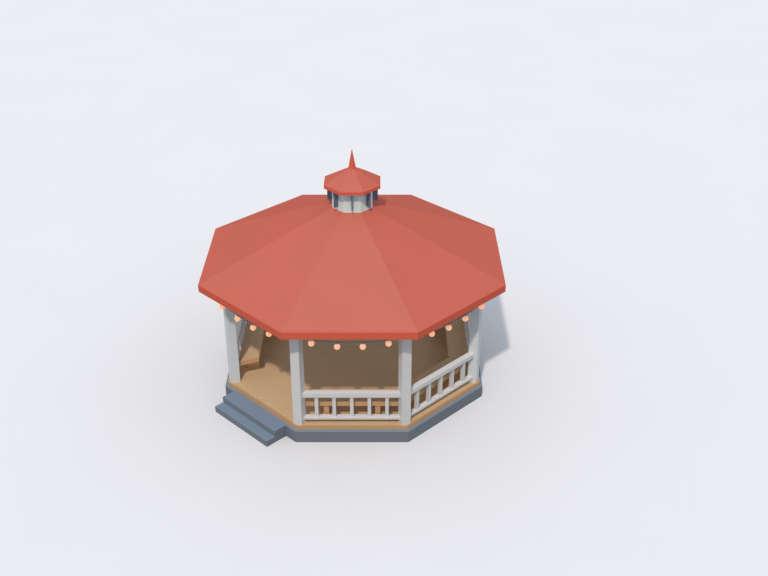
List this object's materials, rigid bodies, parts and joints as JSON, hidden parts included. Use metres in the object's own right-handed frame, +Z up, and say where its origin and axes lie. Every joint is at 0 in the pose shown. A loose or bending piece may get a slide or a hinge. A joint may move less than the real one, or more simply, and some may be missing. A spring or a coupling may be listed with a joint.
{
  "type": "park gazebo",
  "caption": "Open eight-sided park gazebo on a stone plinth, with balustrades, benches, a red pitched roof, a small lantern and string lights.",
  "frame": {"origin": "on the ground, at the centre of the eight-sided plinth", "axes": "+Z up; flat sides face +X, +Y, -X, -Y and the diagonals; the entrance steps point along (-1, -1)"},
  "size_m": [7.391, 7.391, 6.2294],
  "materials": {
    "stone": "matte stone-grey masonry",
    "deck_wood": "oiled timber",
    "bench_wood": "oiled timber",
    "white_paint": "white painted timber",
    "frame_wood": "plain timber",
    "red_paint": "satin red paint",
    "dark_blue_paint": "satin dark blue paint",
    "dark_metal": "satin dark paint",
    "cable_rubber": "matte rubber",
    "warm_globe": "warm lit opal globe"
  },
  "bodies": {
    "root": {"bench_legs": "bench_wood", "bench_seats": "bench_wood", "common_rafters": "frame_wood", "crown_ring": "frame_wood", "cupola_drum": "white_paint", "cupola_fascia": "red_paint", "cupola_fins": "dark_blue_paint", "cupola_roof": "red_paint", "deck_edge": "deck_wood", "deck_floor": "deck_wood", "fascia": "red_paint", "finial": "red_paint", "header_beams": "white_paint", "hip_rafters": "frame_wood", "light_box": "dark_metal", "light_bulbs": "warm_globe", "light_cable": "cable_rubber", "light_hooks": "dark_metal", "plinth": "stone", "post_1": "white_paint", "post_2": "white_paint", "post_3": "white_paint", "post_4": "white_paint", "post_5": "white_paint", "post_6": "white_paint", "post_7": "white_paint", "post_8": "white_paint", "railing_1": "white_paint", "railing_2": "white_paint", "railing_3": "white_paint", "railing_4": "white_paint", "railing_5": "white_paint", "railing_6": "white_paint", "railing_7": "white_paint", "roof_panel_1": "red_paint", "roof_panel_2": "red_paint", "roof_panel_3": "red_paint", "roof_panel_4": "red_paint", "roof_panel_5": "red_paint", "roof_panel_6": "red_paint", "roof_panel_7": "red_paint", "roof_panel_8": "red_paint", "step_lower": "stone", "step_upper": "stone"}
  },
  "joints": []
}
